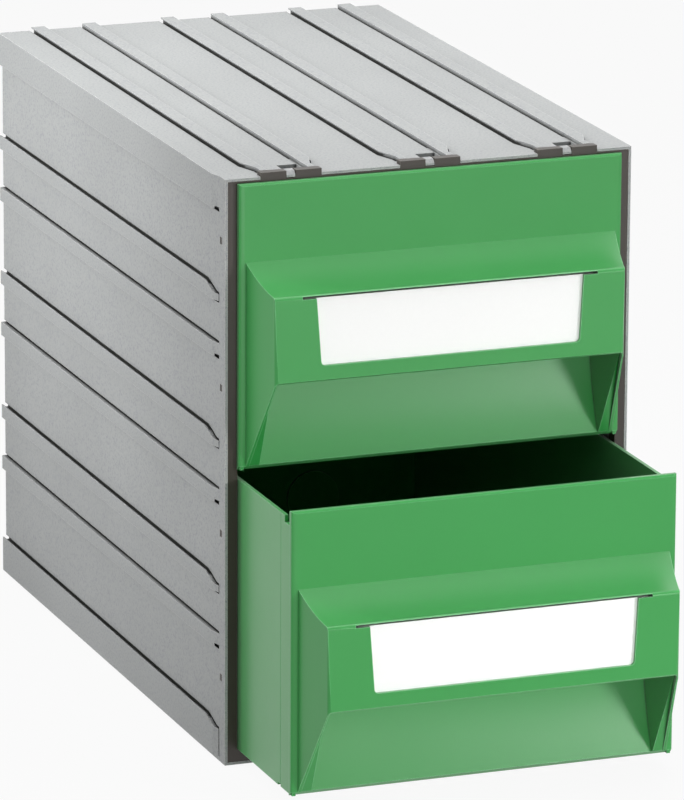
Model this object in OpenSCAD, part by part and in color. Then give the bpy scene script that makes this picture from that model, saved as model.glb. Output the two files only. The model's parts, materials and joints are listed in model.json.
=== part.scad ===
// Stacking cabinet with two hooded drawers, moulded in plastic.
// The origin is the centre of the underside. The front faces -Y and +Z is up.
// Hooked ribs on the top and sides join it to its neighbours, and slots in its floor take the ribs
// of the cabinet below.

/* [Casing] */
// outside width over the side walls, without the ribs
case_w = 250; // [230:1:300]
// outside height over floor and top, without the ribs
case_h = 350; // [330:1:420]
// outside depth, front edge to rear edge
case_d = 412; // [345:1:480]
// thickness of each side wall
wall_t = 6; // [5.5:0.1:7]
// thickness of the top plate
top_t = 5; // [4.8:0.1:7]
// thickness of the floor plate
floor_t = 8.8; // [7.4:0.1:10]
// thickness of the thin skin that goes round the front frame
skin_t = 1.6; // [1.4:0.1:2.2]

/* [Joining ribs] */
// width of one pair of ribs, over the tips of their hooks
rail_w = 41.8; // [38:0.1:44]
// width of one rib, hook included
rib_w = 8.5; // [7:0.1:9.5]
// height of a rib above the wall
rib_h = 2.2; // [1.8:0.1:2.6]
// how far a hook stands out from its rib
hook_over = 1.6; // [1.2:0.1:2]
// thickness of a hook
hook_t = 0.8; // [0.7:0.1:1.2]

/* [Front frame and shelf] */
// depth of the front frame
frame_d = 9; // [8:0.1:11]
// thickness of the shelf between the drawers
shelf_t = 2.8; // [2.4:0.1:3]

/* [Drawers] */
// how far the lower drawer stands open
lower_open = 88; // [0:1:200]
// wall thickness of the trays
tray_t = 2.2; // [1.8:0.1:2.8]
// width of the front plate over the width of the drawer opening
plate_over = 0.8; // [0.4:0.1:3]
// thickness of the front plate
plate_t = 3.8; // [3:0.1:4.5]
// depth of the front moulding behind its plate's face
front_d = 20; // [19:0.5:26]

/* [Hooded grip] */
// height of the line where the brow leaves the plate, above the plate's lower edge
brow_z = 120.7; // [113:0.1:124]
// height of the top of the label band
band_top = 104.3; // [100:0.1:107]
// height of the lower edge of the label band
band_low = 56; // [50:0.1:60]
// how far the top of the band stands in front of the plate
hood_out = 30.8; // [26:0.1:36]
// how much farther the band's lower edge stands out
band_lean = 1.6; // [0:0.1:3]
// how far each end of the band is set in from the plate's edge
hip_in = 10.6; // [8:0.1:16]
// depth of the finger scoop behind the plate's face
scoop_d = 16.5; // [12:0.1:16.8]
// thickness of the moulding in the hood and scoop
skin = 2.2; // [1.8:0.1:2.5]

/* [Label] */
// width of the label window at its top
window_w = 164; // [140:1:170]
// height of the label window
window_h = 39.2; // [30:0.1:40]
// thickness of the label card
card_t = 0.5; // [0.4:0.1:0.6]

/* [Hidden] */
$fn = 48;
e = 0.01;

// colours
grey = [0.74, 0.76, 0.75];
brown = [0.2, 0.16, 0.12];
green = [0.33, 0.6, 0.36];
white = [0.96, 0.96, 0.95];

// casing
y_f = -case_d / 2;
y_r = case_d / 2;
in_x = case_w / 2 - wall_t;
in_top = case_h - top_t;
groove_d = 1.8;
groove_gap = 1.2;
root_w = 1.2;
root_d = 1.6;
rebate = 1.5;
rear_t = 3;
rear_in = 2;

// rail positions: three on the top, and on each side a row that starts and ends at the corners
top_pitch = 0.34 * case_w;
top_rails = [for (k = [-1:1]) k * top_pitch];
side_first = 3;
side_last = case_h + 1;
side_pitch = (side_last - side_first) / 4;
side_rails = [for (k = [0:4]) side_first + k * side_pitch];
rib_in = rail_w / 2 - rib_w;
rib_stem = rail_w / 2 - hook_over;
rib_end_top = 6.4;
ramp_from = 8.5;
ramp_len = 9;
groove_end = 10;
root_end_top = 35;
taper_from = 28;
taper_to = 14;
taper_in = 4.4;

// front frame
fit = 0.2;
open_x = in_x - 1.5;
lip_w = 37;
lip_d = 5.7;
notch_w = 5.8;
nose_w = 5.2;
nose_h = 1.8;
barb_w = 4;
barb_d = 3.5;
barb_y = 5;
pocket_x = -0.8;
pocket_w = 12;
pocket_y = 13;
pocket_l = 10;

// drawers, stacked at one pitch
pitch = (case_h - 11.6) / 2;
base_z = floor_t + fit;
tray_h = pitch - 5.8;
plate_lift = 2.4;
plate_h = pitch - plate_lift - 0.3;
tray_x = open_x - 0.6;
plate_x = open_x + plate_over / 2;
plate_y = y_f - plate_t - fit;
tray_y = plate_y + front_d + 0.3;
tray_end = y_r - rear_in - rear_t - 1;
skid_h = 1.7;
skid_w = 8;
stop_h = 1.3;
stop_y = plate_y + front_d + 4;
stop_l = 8;
stop_w = 30;
travel = case_d - 110;
shelf_z = base_z + pitch - fit - shelf_t;
shelf_in = 1.2;

// hood
lean = atan(band_lean / (band_top - band_low));
band_len = (band_top - band_low) / cos(lean);
band_front = 2;
slot_t = 0.9;
band_t = band_front + slot_t + 1.4;
slot_w = window_w + 17;
slot_len = window_h + 4;
brow_sag = 1.8;
edge_r = 2.8;
edge_u = 2.6;
slit_h = 1.5;
slit_d = 4.8;
notch_deep = 4;
end_draw = 3;
round_w = 4;
round_d = 1.5;
notch_len = 10.5;
clip_w = 10;
clip_z = [30, 135];

// Points of the hood, as [y, z] from the foot of the plate's face

function edge_at(a) = [edge_r - hood_out + edge_r * cos(a), band_top + edge_u * sin(a)];
function brow_at(t) = let (end = edge_at(115))
    [t * end[0], brow_z + (end[1] - brow_z) * t - brow_sag * 4 * t * (1 - t)];
function band_at(down, deep) =
    [-hood_out - down * sin(lean) + deep * cos(lean), band_top - down * cos(lean) - deep * sin(lean)];
function scoop_at(z) = [1.2 + (scoop_d - 1.2) * (1 - pow(1 - z / 100, 2.6)), z];
function arc(cx, cy, r, from, to, n = 8) =
    [for (i = [0:n]) let (a = from + (to - from) * i / n) [cx + r * cos(a), cy + r * sin(a)]];

// Solid with the outline given in [y, z], from x0 to x1

module across(x0, x1) {
    translate([x0, 0, 0])
        rotate([90, 0, 90])
            linear_extrude(x1 - x0) children();
}

// Solid with the outline given in [x, z], from y0 back to y1

module along(y0, y1) {
    translate([0, y1, 0])
        rotate([90, 0, 0])
            linear_extrude(y1 - y0) children();
}

module box(x0, x1, y0, y1, z0, z1) {
    translate([x0, y0, z0]) cube([x1 - x0, y1 - y0, z1 - z0]);
}

module both_sides() {
    children();
    mirror([1, 0, 0]) children();
}

module rounded(w, h, r) {
    hull()
        for (x = [r - w / 2, w / 2 - r], y = [r, h - r])
            translate([x, y]) circle(r, $fn = 24);
}

// Casing outlines. Each is drawn for a wall whose face lies on the x axis and looks to +y.

module ribs(c) {
    for (s = [0, 1])
        translate([c, 0]) mirror([s, 0]) {
            translate([rib_in, -0.5]) square([rib_stem - rib_in, rib_h + 0.5]);
            translate([rib_in, rib_h - hook_t]) square([rib_w, hook_t]);
        }
}

module rib_grooves(c) {
    for (s = [0, 1])
        translate([c, 0]) mirror([s, 0])
            translate([rib_stem, -groove_d]) square([hook_over + groove_gap, groove_d + e]);
}

module root_slots(c) {
    for (s = [0, 1])
        translate([c, 0]) mirror([s, 0])
            translate([rib_in - root_w, -root_d]) square([root_w, root_d + e]);
}

// slots that take the ribs of the next cabinet
module rib_slots(c) {
    lip = rib_h - hook_t - fit;
    deep = rib_h + fit;
    for (s = [0, 1])
        translate([c, 0]) mirror([s, 0]) {
            translate([rib_in - 0.3, -lip - e]) square([rib_stem - rib_in + 0.6, lip + 2 * e]);
            translate([rib_in - 0.3, -deep]) square([rib_w + 0.6, deep - lip]);
        }
}

module on_top() {
    translate([0, case_h]) children();
}

module on_left() {
    translate([-case_w / 2, 0]) rotate(90) children();
}

module on_right() {
    mirror([1, 0]) on_left() children();
}

// solid corners at the bottom and top of the left side
module side_pads() {
    low = side_first + rib_in + e;
    high = side_last - rib_in - 1;
    polygon([[0, -0.5], [low, -0.5], [low, rib_h], [rib_h, rib_h], [0, 0]]);
    translate([high, -0.5]) square([case_h - high, rib_h + 0.5]);
}

module casing_outline() {
    intersection() {
        difference() {
            union() {
                translate([-case_w / 2, 0]) square([case_w, case_h]);
                on_top() for (c = top_rails) ribs(c);
                on_left() {
                    for (c = side_rails) ribs(c);
                    side_pads();
                }
            }
            on_top() for (c = top_rails) {
                rib_grooves(c);
                root_slots(c);
            }
            on_left() {
                for (c = side_rails) rib_grooves(c);
                for (c = [for (k = [1:3]) side_rails[k]]) root_slots(c);
            }
            on_right() for (c = [for (k = [1:3]) side_rails[k]]) rib_slots(c);
            mirror([0, 1]) for (c = top_rails) rib_slots(c);
        }
        translate([-case_w, 0]) square([2 * case_w, case_h + rib_h]);
    }
}

module inside_outline(grow = 0) {
    translate([-in_x - grow, floor_t - grow])
        square([2 * (in_x + grow), in_top - floor_t + 2 * grow]);
}

// Front end of one rail, drawn in plan. The outer edge of a rib draws in and the groove beside it
// follows. Side 0 is the rib on the + side of the pair.

module rib_end_cut(c, side, end) {
    translate([c, 0]) mirror([side, 0])
        polygon([[rail_w / 2 - taper_in, taper_to], [rail_w / 2, taper_from],
                 [rail_w / 2 + 4, taper_from], [rail_w / 2 + 4, -1], [0, -1], [0, end],
                 [rail_w / 2 - taper_in, end]]);
}

module end_groove(c, side) {
    w = hook_over + groove_gap;
    translate([c, 0]) mirror([side, 0])
        polygon([[rib_stem, taper_from + 1], [rib_stem + w, taper_from + 1], [rib_stem + w, taper_from],
                 [rib_stem + w - taper_in, taper_to], [rib_stem + w - taper_in, groove_end],
                 [rib_stem - taper_in, groove_end], [rib_stem - taper_in, taper_to],
                 [rib_stem, taper_from]]);
}

// lays a plan drawing (across the face, distance from the front edge) on a face
module plan_on_top(z0, z1) {
    translate([0, y_f, z0]) linear_extrude(z1 - z0) children();
}

module plan_on_left(x0, x1) {
    translate([x0, y_f, 0])
        rotate([90, 0, 90]) linear_extrude(x1 - x0)
            mirror([1, -1]) children();
}

barb_rows = [for (k = [0:3]) side_rails[k] + 0.56 * side_pitch];

module front_cuts() {
    // room for the front frame
    along(y_f - 1, y_f + frame_d + fit)
        translate([-case_w / 2 + skin_t, skin_t])
            square([case_w - 2 * skin_t, case_h - 2 * skin_t]);
    for (c = top_rails) {
        // gap for the frame's lip, and its place in the floor of the cabinet above
        box(c - lip_w / 2 - fit, c + lip_w / 2 + fit, y_f - 1, y_f + lip_d + 0.5,
            case_h - skin_t - 1, case_h + 5);
        box(c - lip_w / 2 - fit, c + lip_w / 2 + fit, y_f - 1, y_f + lip_d + 0.8, -1, rib_h + fit);
        // pocket behind the catch nose
        box(c + pocket_x, c + pocket_x + pocket_w, y_f + pocket_y, y_f + pocket_y + pocket_l,
            in_top - 1, case_h + 5);
    }
    // windows for the frame's barbs
    both_sides() for (z = barb_rows)
        box(case_w / 2 - skin_t - 1, case_w / 2 + 1, y_f + barb_y - fit, y_f + barb_y + barb_d + fit,
            z - barb_w / 2 - fit, z + barb_w / 2 + fit);
}

// fills the grooves of the outline near the front, where the skin is thin
module front_fill() {
    t = groove_d + 0.4;
    along(y_f, y_f + groove_end)
        difference() {
            translate([-case_w / 2, t]) square([case_w, case_h - t]);
            translate([-case_w / 2 + t, -1]) square([case_w - 2 * t, case_h + 1 - t]);
        }
    along(y_f, y_f + taper_from) intersection() {
        translate([-case_w / 2, 0]) square([case_w, case_h]);
        union() {
            on_top() for (c = top_rails) rib_grooves(c);
            on_left() for (c = side_rails) mirror_from(c) rib_grooves(c);
        }
    }
    along(y_f, y_f + root_end_top) on_top() for (c = top_rails) root_slots(c);
}

// keeps what lies on the + side of a pair's centre
module mirror_from(c) {
    intersection() {
        children();
        translate([c, -20]) square(40);
    }
}

module casing_shell() {
    color(grey) {
        difference() {
            union() {
                difference() {
                    along(y_f, y_r) casing_outline();
                    // front ends of the ribs
                    for (c = top_rails, s = [0, 1])
                        plan_on_top(case_h, case_h + 5) rib_end_cut(c, s, rib_end_top);
                    for (c = side_rails)
                        plan_on_left(-case_w / 2 - 5, -case_w / 2) rib_end_cut(c, 0, groove_end);
                    side_ramp();
                }
                front_fill();
            }
            // grooves that follow the drawn-in ends
            for (c = top_rails, s = [0, 1])
                plan_on_top(case_h - groove_d, case_h + e) end_groove(c, s);
            intersection() {
                for (c = side_rails)
                    plan_on_left(-case_w / 2 - e, -case_w / 2 + groove_d) end_groove(c, 0);
                box(-case_w, case_w, -case_d, case_d, -e, case_h + e);
            }
            front_cuts();
            // inside, with a rebate for the rear panel and grooves for the shelf
            along(y_f - 1, y_r + 1) inside_outline();
            along(y_r - rear_in - rear_t, y_r + 1) inside_outline(rebate);
            box(-in_x - shelf_in - fit, in_x + shelf_in + fit, y_f - 1, y_r - rear_in - rear_t,
                shelf_z - 0.1, shelf_z + shelf_t + 0.1);
        }
        // catch noses that reach into the notches of the frame's lips
        for (c = top_rails) catch_nose(c);
        // stop for the lower drawer
        drawer_stop(floor_t);
    }
}

// The front ends of the side ribs run out in a ramp
module side_ramp() {
    x = -case_w / 2;
    ramp_end = ramp_from + ramp_len * (rib_h + 1) / rib_h;
    translate([0, 0, -1])
        linear_extrude(case_h + 6)
            polygon([[x, y_f - 1], [x, y_f + ramp_from], [x - rib_h - 1, y_f + ramp_end],
                     [x - 9, y_f + ramp_end], [x - 9, y_f - 1]]);
}

module catch_nose(c) {
    across(c - nose_w / 2, c + nose_w / 2)
        translate([y_f, case_h])
            polygon([[0.4, -skin_t], [pocket_y, -skin_t], [pocket_y, 0.2], [rib_end_top + 1, nose_h],
                     [2.4, nose_h], [0.4, -0.2]]);
}

// Low stop that the drawer's rib meets when it is pulled right out, with a ramp in front

module drawer_stop(z) {
    across(-stop_w / 2, stop_w / 2)
        translate([stop_y, z])
            polygon([[-3, -0.4], [stop_l, -0.4], [stop_l, stop_h], [0, stop_h], [-3, 0]]);
}

module rear_panel() {
    g = rebate - fit;
    w = 2 * (in_x + g);
    h = in_top - floor_t + 2 * g;
    color(grey) {
        along(y_r - rear_in - rear_t, y_r - rear_in)
            translate([-w / 2, floor_t - g]) square([w, h]);
        // raised field that stiffens it
        along(y_r - rear_in - e, y_r - rear_in + 1.2)
            translate([0, floor_t + 18]) rounded(w - 40, h - 40, 12);
    }
}

module frame_outline() {
    o = skin_t + fit;
    difference() {
        translate([-case_w / 2 + o, o]) square([case_w - 2 * o, case_h - 2 * o]);
        translate([-open_x, floor_t]) square([2 * open_x, in_top - floor_t]);
    }
}

module front_frame() {
    top = case_h - skin_t - fit;
    color(brown)
    difference() {
        union() {
            along(y_f + 0.2, y_f + frame_d) frame_outline();
            // lips that close the front end of each top rail
            for (c = top_rails)
                box(c - lip_w / 2, c + lip_w / 2, y_f + 0.2, y_f + lip_d, top - 1, case_h + rib_h);
            // barbs that snap into the casing's side windows
            both_sides() for (z = barb_rows)
                box(case_w / 2 - skin_t - fit - 1, case_w / 2 - 0.2, y_f + barb_y, y_f + barb_y + barb_d,
                    z - barb_w / 2, z + barb_w / 2);
        }
        for (c = top_rails) {
            // notch for the casing's catch nose
            box(c - notch_w / 2, c + notch_w / 2, y_f - 1, y_f + frame_d + 1, top - 0.2, case_h + 5);
            // place for the lip of the cabinet below
            box(c - lip_w / 2 - fit, c + lip_w / 2 + fit, y_f - 1, y_f + lip_d + 0.8, 0, rib_h + fit);
            for (s = [-1, 1]) let (x = c + s * (rib_in + rib_w / 2), w = rib_w / 2 + 0.3)
                box(x - w, x + w, y_f - 1, y_f + frame_d + 1, 0, rib_h + fit);
        }
    }
}

module divider_shelf() {
    color(brown) {
        box(-in_x - shelf_in, in_x + shelf_in, y_f + frame_d + fit + 0.1, y_r - rear_in - rear_t - fit,
            shelf_z, shelf_z + shelf_t);
        drawer_stop(shelf_z + shelf_t);
    }
}

// Tray, with its front wall's outer face at tray_y and its skids at z = 0

module tray_plan(inset, front_r) {
    rear_r = 4 - inset;
    hull()
        both_sides() {
            translate([tray_x - inset - rear_r, tray_end - inset - rear_r]) circle(rear_r, $fn = 24);
            translate([tray_x - inset - front_r, tray_y + inset + front_r]) circle(front_r, $fn = 16);
        }
}

module tray() {
    floor_in = skid_h + 2.2;
    difference() {
        union() {
            translate([0, 0, skid_h]) linear_extrude(tray_h - skid_h) tray_plan(0, 0.6);
            // skids that slide on the floor or shelf
            both_sides() box(tray_x - skid_w, tray_x, tray_y + 4, tray_end - 4, 0, skid_h + 0.5);
            // rib that meets the stop at full travel
            box(-stop_w / 2 - 5, stop_w / 2 + 5, stop_y + stop_l + travel + 0.3,
                stop_y + stop_l + travel + 4, 0.2, skid_h + 0.5);
        }
        translate([0, 0, floor_in]) linear_extrude(tray_h) tray_plan(tray_t, 1.8);
        // the front wall is lower, behind the front's plate
        box(tray_t - tray_x, tray_x - tray_t, tray_y - 1, tray_y + 4, tray_h - 8, tray_h + 1);
        // windows for the front's clips
        both_sides() for (z = clip_z)
            box(tray_x - skin - 4, tray_x - skin + 0.1, tray_y - 1, tray_y + tray_t + 1,
                plate_lift + z - 0.3, plate_lift + z + clip_w + 0.3);
    }
    // round pads inside the rear wall
    both_sides() translate([46, tray_end - tray_t + 0.3, tray_h * 0.31])
        rotate([90, 0, 0]) cylinder(d = 34, h = 1.8);
}

// Front moulding, with the foot of its plate's face at y = 0, z = 0

module plan_outer(root = 0, tip = 0) {
    end = plate_x - hip_in;
    r = 3;
    slope = (hip_in - round_w) / hood_out;
    polygon(concat(
        [[plate_x - round_w - root, 0], [end + slope * 2.4 - tip, -hood_out + 2.4]],
        arc(end - r + 0.4 - tip, -hood_out - band_lean + r, r, 0, -90, 6),
        arc(-(end - r + 0.4 - tip), -hood_out - band_lean + r, r, -90, -180, 6),
        [[-(end + slope * 2.4 - tip), -hood_out + 2.4], [-(plate_x - round_w - root), 0]]));
}

// the plate's side edges are rounded over a wide strip
module plate_plan() {
    side = [for (a = [0:15:90]) [plate_x - round_w * (1 - cos(a)), round_d * (1 - sin(a))]];
    polygon(concat(
        [[tray_x, front_d], [tray_x, plate_t], [plate_x, plate_t]],
        side,
        [for (i = [6:-1:0]) [-side[i][0], side[i][1]]],
        [[-plate_x, plate_t], [-tray_x, plate_t], [-tray_x, front_d]]));
}

module brow_and_band() {
    inner = [for (i = [9:-1:0]) let (p = brow_at(i / 10)) [p[0] + 0.6, p[1] - skin]];
    polygon(concat(
        [[plate_t, brow_z]],
        [for (i = [0:10]) brow_at(i / 10)],
        [for (a = [125:11:180]) edge_at(a)],
        [band_at(band_len - 0.8, 0), band_at(band_len, 0.8),
         band_at(band_len, band_t - 0.6), band_at(band_len - 0.6, band_t), band_at(6, band_t)],
        [band_at(3.4, band_t + 1.6)],
        [for (p = inner) if (p[0] > -hood_out + band_t + 2) p],
        [[plate_t, brow_z - skin - 0.4]]));
}

// plate, roof of the scoop, scoop wall and bottom return
module plate_and_scoop() {
    r = 9;
    cx = scoop_d - r;
    cz = brow_z - skin - 0.4 - r - 1.2;
    low = plate_lift - fit;
    polygon(concat(
        [[0, brow_z - 1], [0, plate_h - 1.2], [0.9, plate_h], [plate_t - 0.6, plate_h],
         [plate_t, plate_h - 0.6], [plate_t, brow_z + 1.4]],
        arc(cx, cz, r + skin, 84, 0, 8),
        [for (z = [90:-10:10]) scoop_at(z) + [skin + 0.1, 0]],
        [[6, 0.8], [7.2, -low + 2], [front_d, -low + 2], [front_d, -low], [1.2 + low, -low], [1.2, 0]],
        [for (z = [10:10:90]) scoop_at(z)],
        arc(cx, cz, r, 0, 90, 8),
        [[0, cz + r + 0.3]]));
}

module hood_side_outline() {
    polygon(concat(
        [[plate_t, 0], [plate_t, brow_z]],
        [for (i = [0:10]) brow_at(i / 10)],
        [for (a = [125:11:180]) edge_at(a)],
        [band_at(band_len - 0.8, 0), band_at(band_len, 0.8), [0, 0]]));
}

module label_window() {
    w = window_w / 2;
    r = 2.5;
    taper = 2.4;
    translate([0, -hood_out, band_top])
        rotate([90 - lean, 0, 0])
            translate([0, 0, -band_front - 0.3])
                linear_extrude(band_front + 5)
                    polygon(concat([[w, 1], [w, 0]],
                        arc(w - taper - r, -window_h + r, r, 0, -90, 6),
                        arc(-w + taper + r, -window_h + r, r, -90, -180, 6),
                        [[-w, 0], [-w, 1]]));
}

module label_slot(width, len, thick, deep, above) {
    across(-width / 2, width / 2)
        polygon([band_at(-above, deep), band_at(len, deep), band_at(len, deep + thick),
                 band_at(-above, deep + thick)]);
}

// filled corners that close the scoop at each end, with inner faces that draw in towards its depth
module scoop_ends() {
    out = plate_x - round_w / 2;
    both_sides()
        intersection() {
            across(0, out)
                polygon(concat(
                    [[1.6, 0.4]],
                    [for (z = [10:10:90]) scoop_at(z) + [skin / 2, 0]],
                    [[0, band_top - 2], [4 - hood_out, band_top - 2], [4 - hood_out, band_low], [0, 0.4]]));
            translate([0, 0, -1]) linear_extrude(band_top)
                polygon([[plate_x - hip_in - 0.4, 4 - hood_out], [plate_x - hip_in - end_draw, scoop_d + 1],
                         [tray_x - skin / 2, scoop_d + 1], [tray_x - skin / 2, plate_t / 2],
                         [plate_x - round_w - skin / 2, 0.5],
                         [plate_x - hip_in + 0.4, 4 - hood_out]]);
        }
}

module front() {
    difference() {
        union() {
            intersection() {
                across(-plate_x, plate_x) plate_and_scoop();
                translate([0, 0, -10]) linear_extrude(plate_h + 20) plate_plan();
            }
            intersection() {
                across(-plate_x, plate_x) brow_and_band();
                translate([0, 0, -10]) linear_extrude(plate_h) union() {
                    plan_outer();
                    plate_plan();
                }
            }
            // cheeks at both ends of the hood
            intersection() {
                across(-plate_x, plate_x) hood_side_outline();
                translate([0, 0, -10]) linear_extrude(plate_h) difference() {
                    union() {
                        plan_outer();
                        plate_plan();
                    }
                    plan_outer(skin, 1);
                    translate([round_w + skin - plate_x, -0.1])
                        square([2 * (plate_x - round_w - skin), front_d + 1]);
                }
            }
            scoop_ends();
            // side returns behind the plate
            both_sides() {
                box(tray_x - skin, tray_x, 1, front_d, fit - plate_lift, tray_h - notch_deep - plate_lift);
                box(tray_x - skin, tray_x, plate_t + notch_len, front_d, tray_h / 2, tray_h - plate_lift);
            }
            both_sides() for (z = clip_z) clip(z);
        }
        label_window();
        label_slot(slot_w, slot_len, slot_t, band_front, 1);
        // slit that the card goes in by
        across(-slot_w / 2, slot_w / 2)
            translate([-hood_out - 1, band_top + 0.1]) square([slit_d + 1, slit_h]);
    }
}

// Clip arm on the inside of a side return, with its hook behind the tray's front wall

module clip(z) {
    x = tray_x - skin;
    hook_y = front_d + 0.3 + tray_t;
    box(x - 2.4, x - 0.4, front_d - 8, hook_y + 1.8, z, z + clip_w);
    box(x - 0.5, x + e, front_d - 8, front_d - 1, z, z + clip_w);
    box(x - 3.6, x - 2.3, hook_y + 0.2, hook_y + 1.8, z, z + clip_w);
}

module card() {
    label_slot(slot_w - 4, slot_len - 0.4, card_t, band_front + 0.1, 0.2);
}

// The upper drawer is shut and the lower one stands open.

module at_drawer(level, open) {
    translate([0, -open, base_z + level * pitch]) children();
}

module at_front(level, open) {
    at_drawer(level, open) translate([0, plate_y, plate_lift]) children();
}

module upper_tray() { color(green) at_drawer(1, 0) tray(); }
module upper_front() { color(green) at_front(1, 0) front(); }
module upper_label() { color(white) at_front(1, 0) card(); }
module lower_tray() { color(green) at_drawer(0, lower_open) tray(); }
module lower_front() { color(green) at_front(0, lower_open) front(); }
module lower_label() { color(white) at_front(0, lower_open) card(); }

casing_shell();
rear_panel();
front_frame();
divider_shelf();
upper_tray();
upper_front();
upper_label();
lower_tray();
lower_front();
lower_label();
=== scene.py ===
import json
import math

import bpy
from mathutils import Euler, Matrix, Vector


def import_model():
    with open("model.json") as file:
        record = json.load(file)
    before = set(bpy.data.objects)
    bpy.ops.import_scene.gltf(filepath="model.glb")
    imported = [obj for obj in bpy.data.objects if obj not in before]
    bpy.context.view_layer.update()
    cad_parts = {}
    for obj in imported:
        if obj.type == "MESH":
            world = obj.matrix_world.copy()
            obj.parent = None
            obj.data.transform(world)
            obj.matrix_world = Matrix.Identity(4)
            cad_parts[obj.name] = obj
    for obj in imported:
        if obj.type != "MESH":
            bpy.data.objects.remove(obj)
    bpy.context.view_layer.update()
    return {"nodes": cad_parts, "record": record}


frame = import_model()
scene = bpy.context.scene
scene.view_settings.view_transform = "Standard"

# Camera, at the photograph's viewing angle

CAM_PLACE = (-1.42002, -3.83449, 1.281)
CAM_TURN = (74.61, -0.28, -20.5605)
CAM_LENS = 314.08
CAM_SENSOR = 36.0
CAM_NEAR = 0.1
CAM_FAR = 50.0

camera = bpy.data.objects.new("camera", bpy.data.cameras.new("camera"))
scene.collection.objects.link(camera)
camera.location = CAM_PLACE
camera.rotation_euler = Euler([math.radians(a) for a in CAM_TURN], "XYZ")
camera.data.lens = CAM_LENS
camera.data.sensor_width = CAM_SENSOR
camera.data.clip_start = CAM_NEAR
camera.data.clip_end = CAM_FAR
scene.camera = camera


# Node helpers


class Nodes:
    """Short ways to add and join the nodes of one material or world."""

    def __init__(self, tree):
        self.tree = tree
        tree.nodes.clear()

    def add(self, kind, **settings):
        n = self.tree.nodes.new(kind)
        for key, value in settings.items():
            setattr(n, key, value)
        return n

    def put(self, node, socket_name, value):
        """Sets a socket, given by name or number, to a value, or links it if the value is a socket."""
        socket = node.inputs[socket_name]
        if isinstance(value, bpy.types.NodeSocket):
            self.tree.links.new(value, socket)
        else:
            socket.default_value = value

    def coords(self):
        return self.add("ShaderNodeTexCoord").outputs["Object"]

    def noise(self, coords, scale, detail=2.0, rough=0.5):
        n = self.add("ShaderNodeTexNoise")
        self.put(n, "Vector", coords)
        self.put(n, "Scale", scale)
        self.put(n, "Detail", detail)
        self.put(n, "Roughness", rough)
        return n.outputs["Fac"]

    def ramp(self, value, band, low_colour, high_colour):
        """One colour below the band of values, another above it, blended in between."""
        n = self.add("ShaderNodeValToRGB")
        self.put(n, "Fac", value)
        for stop, place, colour in zip(n.color_ramp.elements, band, (low_colour, high_colour)):
            stop.position = place
            stop.color = (*colour, 1.0)
        return n.outputs["Color"]

    def map(self, value, band, low, high):
        """The same with numbers: low below the band of values and high above it."""
        n = self.add("ShaderNodeMapRange")
        self.put(n, "Value", value)
        self.put(n, "From Min", band[0])
        self.put(n, "From Max", band[1])
        self.put(n, "To Min", low)
        self.put(n, "To Max", high)
        return n.outputs["Result"]

    def mix(self, share, under, over):
        """Lays a plain colour over another, as far as the share says."""
        n = self.add("ShaderNodeMix", data_type="RGBA")
        factor, a, b = n.inputs[0], n.inputs[6], n.inputs[7]
        self.tree.links.new(share, factor)
        self.tree.links.new(under, a)
        b.default_value = (*over, 1.0)
        return n.outputs[2]

    def combine(self, operation, a, b):
        n = self.add("ShaderNodeMath", operation=operation)
        self.put(n, 0, a)
        self.put(n, 1, b)
        return n.outputs[0]

    def seen(self):
        """1 for rays that show the background: camera, glossy and transmission rays."""
        path = self.add("ShaderNodeLightPath").outputs
        straight_or_mirrored = self.combine("MAXIMUM", path["Is Camera Ray"], path["Is Glossy Ray"])
        return self.combine("MAXIMUM", straight_or_mirrored, path["Is Transmission Ray"])

    def openness(self, reach):
        """0 deep in a hollow narrower than the reach and 1 out in the open."""
        ao = self.add("ShaderNodeAmbientOcclusion", samples=8, only_local=True)
        self.put(ao, "Distance", reach)
        return ao.outputs["AO"]

    def edge(self, width, bend):
        """0 on flat faces and 1 along rounded edges.

        It takes the cosine between a bevelled normal and the true one. The bend is how far the cosine
        is below 1 where an edge begins to show and where it shows in full.
        """
        bevel = self.add("ShaderNodeBevel", samples=4)
        self.put(bevel, "Radius", width)
        true_normal = self.add("ShaderNodeNewGeometry").outputs["True Normal"]
        dot = self.add("ShaderNodeVectorMath", operation="DOT_PRODUCT")
        self.put(dot, 0, bevel.outputs["Normal"])
        self.put(dot, 1, true_normal)
        return self.map(dot.outputs["Value"], (1.0 - bend[0], 1.0 - bend[1]), 0.0, 1.0)

    def bump(self, height, strength, distance):
        n = self.add("ShaderNodeBump")
        self.put(n, "Height", height)
        self.put(n, "Strength", strength)
        self.put(n, "Distance", distance)
        return n.outputs["Normal"]

    def finish(self, kind, shader):
        """Joins a shader to the output of a material or a world."""
        self.put(self.add(kind), "Surface", shader.outputs[0])


def linear(r, g, b):
    """A screen colour, 0 to 255, as the linear colour that a shader takes."""
    out = []
    for v in (r, g, b):
        v /= 255.0
        out.append(v / 12.92 if v <= 0.04045 else ((v + 0.055) / 1.055) ** 2.4)
    return tuple(out)


def scaled(colour, factor):
    return tuple(c * factor for c in colour)


def new_material(name):
    m = bpy.data.materials.new(name)
    m.use_nodes = True
    return m, Nodes(m.node_tree)


# Scales of noise are in waves per metre, and bands are the values of noise between two looks

MIDDLE_BAND = (0.3, 0.7)

# Moulded plastic

PATCH_SCALE = 9.0
PATCH_BAND = (0.35, 0.65)
SPECK_SCALE = 700.0
SPECK_BAND = (0.48, 0.68)
GLOSS_SCALE = 35.0
GLOSS_SWING = 0.02
GRAIN_SCALE = 1400.0
GRAIN_HEIGHT = 0.0004
# The painted highlight on convex edges: how far the bevelled normal bends, how open the place must be, and
# the share of pale colour.
EDGE_BEND = (0.02, 0.2)
EDGE_OPENNESS = (0.85, 0.97)
EDGE_SHARE = 0.8
SHEEN_ROUGH = 0.35


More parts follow.
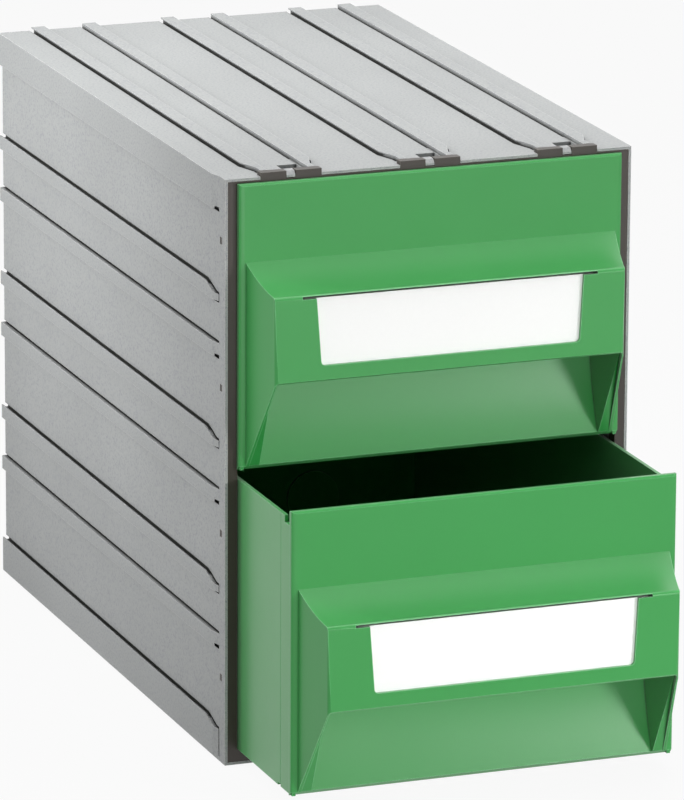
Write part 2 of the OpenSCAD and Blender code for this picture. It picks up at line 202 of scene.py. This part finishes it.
def plastic_colour(n, coords, base, patch, groove_shade, edge_highlight, speck):
    """Faint patches and specks, painted highlights on convex edges, and painted shade deep in narrow
    grooves.
    """
    cloud = n.noise(coords, PATCH_SCALE, detail=3.0, rough=0.55)
    colour = n.ramp(cloud, PATCH_BAND, scaled(base, 1.0 - patch), scaled(base, 1.0 + patch))
    if speck:
        dots = n.noise(coords, SPECK_SCALE, detail=3.0, rough=0.7)
        colour = n.mix(n.map(dots, SPECK_BAND, 0.0, speck["share"]), colour, speck["colour"])
    # Painted shade: the colour goes dark where ambient occlusion finds a deep, narrow groove.
    openness = n.openness(groove_shade["reach"])
    # Painted highlight: rounded convex edges out in the open are lightened towards a pale colour.
    edge = n.edge(edge_highlight["width"], EDGE_BEND)
    exposed = n.map(openness, EDGE_OPENNESS, 0.0, EDGE_SHARE)
    colour = n.mix(n.combine("MULTIPLY", edge, exposed), colour, edge_highlight["colour"])
    return n.mix(n.map(openness, groove_shade["band"], 1.0, 0.0), colour, groove_shade["colour"])


def plastic(name, base, rough, grain, groove_shade, edge_highlight, ior=1.5, patch=0.04, speck=None, sheen=0.0):
    """Moulded plastic, with uneven gloss and a fine grain.

    The painted groove shade is full where the openness is below its band, and gone above it.
    """
    m, n = new_material(name)
    coords = n.coords()
    gloss = n.noise(coords, GLOSS_SCALE, detail=4.0, rough=0.6)
    shader = n.add("ShaderNodeBsdfPrincipled")
    n.put(shader, "Base Color", plastic_colour(n, coords, base, patch, groove_shade, edge_highlight, speck))
    n.put(shader, "Roughness", n.map(gloss, MIDDLE_BAND, rough - GLOSS_SWING, rough + GLOSS_SWING))
    n.put(shader, "IOR", ior)
    n.put(shader, "Sheen Weight", sheen)
    n.put(shader, "Sheen Roughness", SHEEN_ROUGH)
    n.put(shader, "Normal", n.bump(n.noise(coords, GRAIN_SCALE), grain, GRAIN_HEIGHT))
    n.finish("ShaderNodeOutputMaterial", shader)
    return m


# Card

FIBRE_SCALE = 600.0
FIBRE_DARK = 0.985
FIBRE_GRAIN = 0.15
FIBRE_HEIGHT = 0.0002
CARD_ROUGH = (0.62, 0.75)


def card(name, base):
    """Thin white card with faint fibres."""
    m, n = new_material(name)
    fibre = n.noise(n.coords(), FIBRE_SCALE, detail=5.0, rough=0.7)
    shader = n.add("ShaderNodeBsdfPrincipled")
    n.put(shader, "Base Color", n.ramp(fibre, MIDDLE_BAND, scaled(base, FIBRE_DARK), base))
    n.put(shader, "Roughness", n.map(fibre, MIDDLE_BAND, *CARD_ROUGH))
    n.put(shader, "Normal", n.bump(fibre, FIBRE_GRAIN, FIBRE_HEIGHT))
    n.finish("ShaderNodeOutputMaterial", shader)
    return m


# In each plastic the groove colour is painted shade laid into deep narrow grooves, and the edge colour is
# a painted highlight.
MATERIALS = {
    "casing_plastic": plastic(
        "casing_plastic", linear(157, 159, 158), rough=0.56, grain=0.2, ior=1.45,
        groove_shade={"colour": linear(16, 15, 10), "reach": 0.0042, "band": (0.43, 0.8)},
        edge_highlight={"colour": linear(214, 214, 214), "width": 0.0006},
        speck={"colour": linear(126, 129, 136), "share": 0.8}),
    "frame_plastic": plastic(
        "frame_plastic", linear(42, 34, 26), rough=0.38, grain=0.12, patch=0.1,
        groove_shade={"colour": linear(12, 10, 8), "reach": 0.002, "band": (0.3, 0.75)},
        edge_highlight={"colour": linear(92, 86, 76), "width": 0.0005}),
    "drawer_plastic": plastic(
        "drawer_plastic", linear(48, 146, 67), rough=0.32, grain=0.05, patch=0.02, sheen=0.4,
        groove_shade={"colour": linear(8, 36, 14), "reach": 0.0026, "band": (0.35, 0.75)},
        edge_highlight={"colour": linear(140, 205, 155), "width": 0.0009}),
    "label_card": card("label_card", linear(250, 250, 249)),
}


# CAD nodes: rounded edges and finished surfaces

EDGE_ROUND = {"casing_shell": 0.0004, "rear_panel": 0.0006, "front_frame": 0.0004, "divider_shelf": 0.0004,
              "upper_tray": 0.0006, "upper_front": 0.0006, "upper_label": 0.0001,
              "lower_tray": 0.0006, "lower_front": 0.0006, "lower_label": 0.0001}
WELD_DISTANCE = 0.00001
FLAT_ANGLE = 1.0
SHARP_ANGLE = 24.0
FLAT_WEIGHT = 90


def dress(o, material, edge_round):
    """Gives a node its material, joins its flat faces and rounds its sharp edges."""
    o.data.materials.clear()
    o.data.materials.append(material)
    weld = o.modifiers.new("weld", "WELD")
    weld.merge_threshold = WELD_DISTANCE
    flat = o.modifiers.new("flat", "DECIMATE")
    flat.decimate_type = "DISSOLVE"
    flat.angle_limit = math.radians(FLAT_ANGLE)
    bevel = o.modifiers.new("bevel", "BEVEL")
    bevel.width = edge_round
    bevel.segments = 2
    bevel.limit_method = "ANGLE"
    bevel.angle_limit = math.radians(SHARP_ANGLE)
    even = o.modifiers.new("even", "WEIGHTED_NORMAL")
    even.weight = FLAT_WEIGHT
    even.keep_sharp = True
    for p in o.data.polygons:
        p.use_smooth = True


for part in frame["record"]["subparts"]:
    dress(frame["nodes"][part["node"]], MATERIALS[part["material_slot"]], EDGE_ROUND[part["node"]])


# Floor, backdrop and light

FLOOR_HALF = 6.0
FLOOR_COLOUR = 0.44
FLOOR_PATCH = 0.01
FLOOR_PATCH_SCALE = 3.0
FLOOR_GLOW = 0.93
WORLD_LIGHT = 0.42
WHITE = (1.0, 1.0, 1.0)


def floor():
    """Plain floor: grey in the object's light, and near white for rays that show the background."""
    mesh = bpy.data.meshes.new("floor")
    s = FLOOR_HALF
    mesh.from_pydata([(-s, -s, 0), (s, -s, 0), (s, s, 0), (-s, s, 0)], [], [(0, 1, 2, 3)])
    o = bpy.data.objects.new("floor", mesh)
    scene.collection.objects.link(o)
    m, n = new_material("floor")
    cloud = n.noise(n.coords(), FLOOR_PATCH_SCALE)
    dark = scaled(WHITE, FLOOR_COLOUR - FLOOR_PATCH)
    light = scaled(WHITE, FLOOR_COLOUR + FLOOR_PATCH)
    diffuse = n.add("ShaderNodeBsdfDiffuse")
    n.put(diffuse, "Color", n.ramp(cloud, MIDDLE_BAND, dark, light))
    glow = n.add("ShaderNodeEmission")
    n.put(glow, "Strength", 1.0)
    both = n.add("ShaderNodeMixShader")
    n.put(both, 0, n.map(n.seen(), (0.0, 1.0), 0.0, FLOOR_GLOW))
    n.put(both, 1, diffuse.outputs[0])
    n.put(both, 2, glow.outputs[0])
    n.finish("ShaderNodeOutputMaterial", both)
    mesh.materials.append(m)


def world():
    """Even light on the object, and white for rays that show the background."""
    w = bpy.data.worlds.new("world")
    scene.world = w
    w.use_nodes = True
    n = Nodes(w.node_tree)
    back = n.add("ShaderNodeBackground")
    n.put(back, "Color", (*WHITE, 1.0))
    n.put(back, "Strength", n.map(n.seen(), (0.0, 1.0), WORLD_LIGHT, 1.0))
    n.finish("ShaderNodeOutputWorld", back)


def panel(name, place, size, radiance, target, spread=180):
    """Soft light panel whose face is as bright as the radiance says; white is 1."""
    data = bpy.data.lights.new(name, "AREA")
    data.shape = "RECTANGLE"
    data.size, data.size_y = size
    data.energy = radiance * math.pi * size[0] * size[1]
    data.spread = math.radians(spread)
    o = bpy.data.objects.new(name, data)
    scene.collection.objects.link(o)
    o.location = place
    o.rotation_euler = (Vector(target) - Vector(place)).to_track_quat("-Z", "Y").to_euler()


floor()
world()
panel("overhead", (0.15, -0.2, 1.5), (1.3, 1.2), 2.55, (0.1, -0.1, 0.25))
panel("front_low", (-0.15, -2.3, 0.2), (1.2, 0.4), 7.4, (0.0, -0.2, 0.15))
panel("right_low", (0.95, -1.6, 0.4), (0.3, 0.3), 2.2, (0.0, -0.3, 0.08), spread=40)
panel("back", (0.5, 0.6, 1.3), (0.8, 0.8), 1.5, (0.1, 0.1, 0.35))
panel("left_back", (-0.8, 0.35, 0.75), (0.5, 0.5), 1.75, (-0.12, 0.1, 0.36), spread=55)
